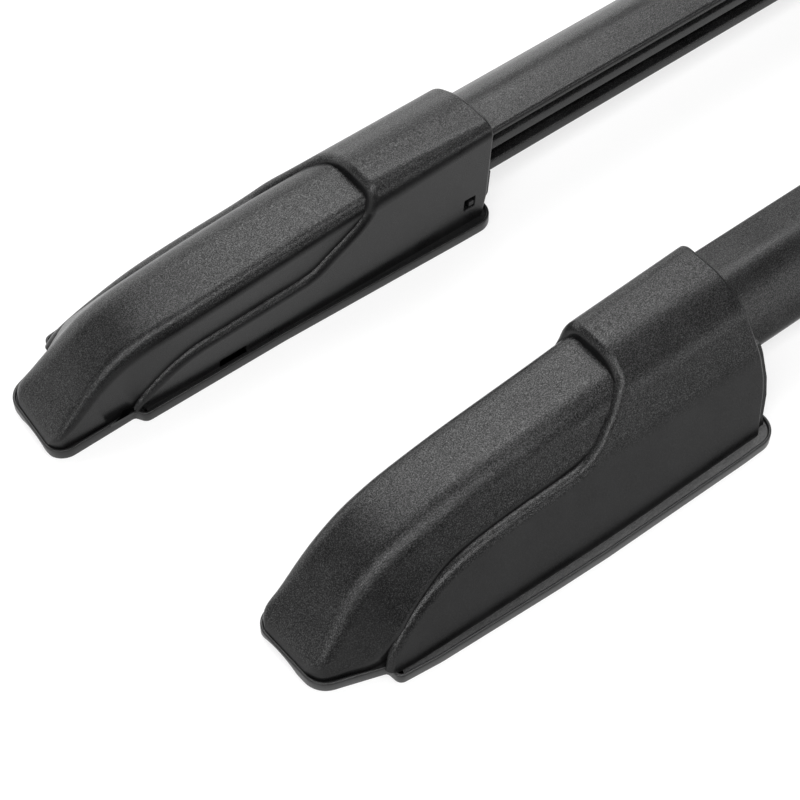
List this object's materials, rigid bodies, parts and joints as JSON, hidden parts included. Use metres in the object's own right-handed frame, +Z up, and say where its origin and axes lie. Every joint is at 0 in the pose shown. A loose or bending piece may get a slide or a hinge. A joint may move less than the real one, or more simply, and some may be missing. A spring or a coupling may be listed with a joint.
{
  "type": "roof side rail pair",
  "caption": "Pair of raised roof side rails, left and right hand: black hollow rails on moulded end feet with tapered nose covers and base gaskets, for carrying cross bars.",
  "frame": {"origin": "centre of the pair's bounding box in plan, on the roof plane under the gaskets", "axes": "+X along the rails, away from the pictured ends; +Y across from the left rail to the right rail; +Z up"},
  "size_m": [1.517, 0.2136, 0.0568],
  "materials": {
    "rail_coat": "fine-grained black powder coat",
    "housing_plastic": "fine-grained black moulding",
    "gasket_rubber": "smooth satin rubber",
    "bracket_cast": "as die-cast",
    "closure_plastic": "plain black moulding",
    "screw_steel": "zinc plated"
  },
  "bodies": {
    "root": {"left_front_base_gasket": "gasket_rubber", "left_front_foot_housing": "housing_plastic", "left_front_nose_cover": "housing_plastic", "left_front_foot_bracket": "bracket_cast", "left_front_rear_closure": "closure_plastic", "left_front_rail_screws": "screw_steel", "left_front_housing_screws": "screw_steel", "left_rear_base_gasket": "gasket_rubber", "left_rear_foot_housing": "housing_plastic", "left_rear_nose_cover": "housing_plastic", "left_rear_foot_bracket": "bracket_cast", "left_rear_rear_closure": "closure_plastic", "left_rear_rail_screws": "screw_steel", "left_rear_housing_screws": "screw_steel", "right_front_base_gasket": "gasket_rubber", "right_front_foot_housing": "housing_plastic", "right_front_nose_cover": "housing_plastic", "right_front_foot_bracket": "bracket_cast", "right_front_rear_closure": "closure_plastic", "right_front_rail_screws": "screw_steel", "right_front_housing_screws": "screw_steel", "right_rear_base_gasket": "gasket_rubber", "right_rear_foot_housing": "housing_plastic", "right_rear_nose_cover": "housing_plastic", "right_rear_foot_bracket": "bracket_cast", "right_rear_rear_closure": "closure_plastic", "right_rear_rail_screws": "screw_steel", "right_rear_housing_screws": "screw_steel", "left_rail": "rail_coat", "right_rail": "rail_coat"}
  },
  "joints": []
}
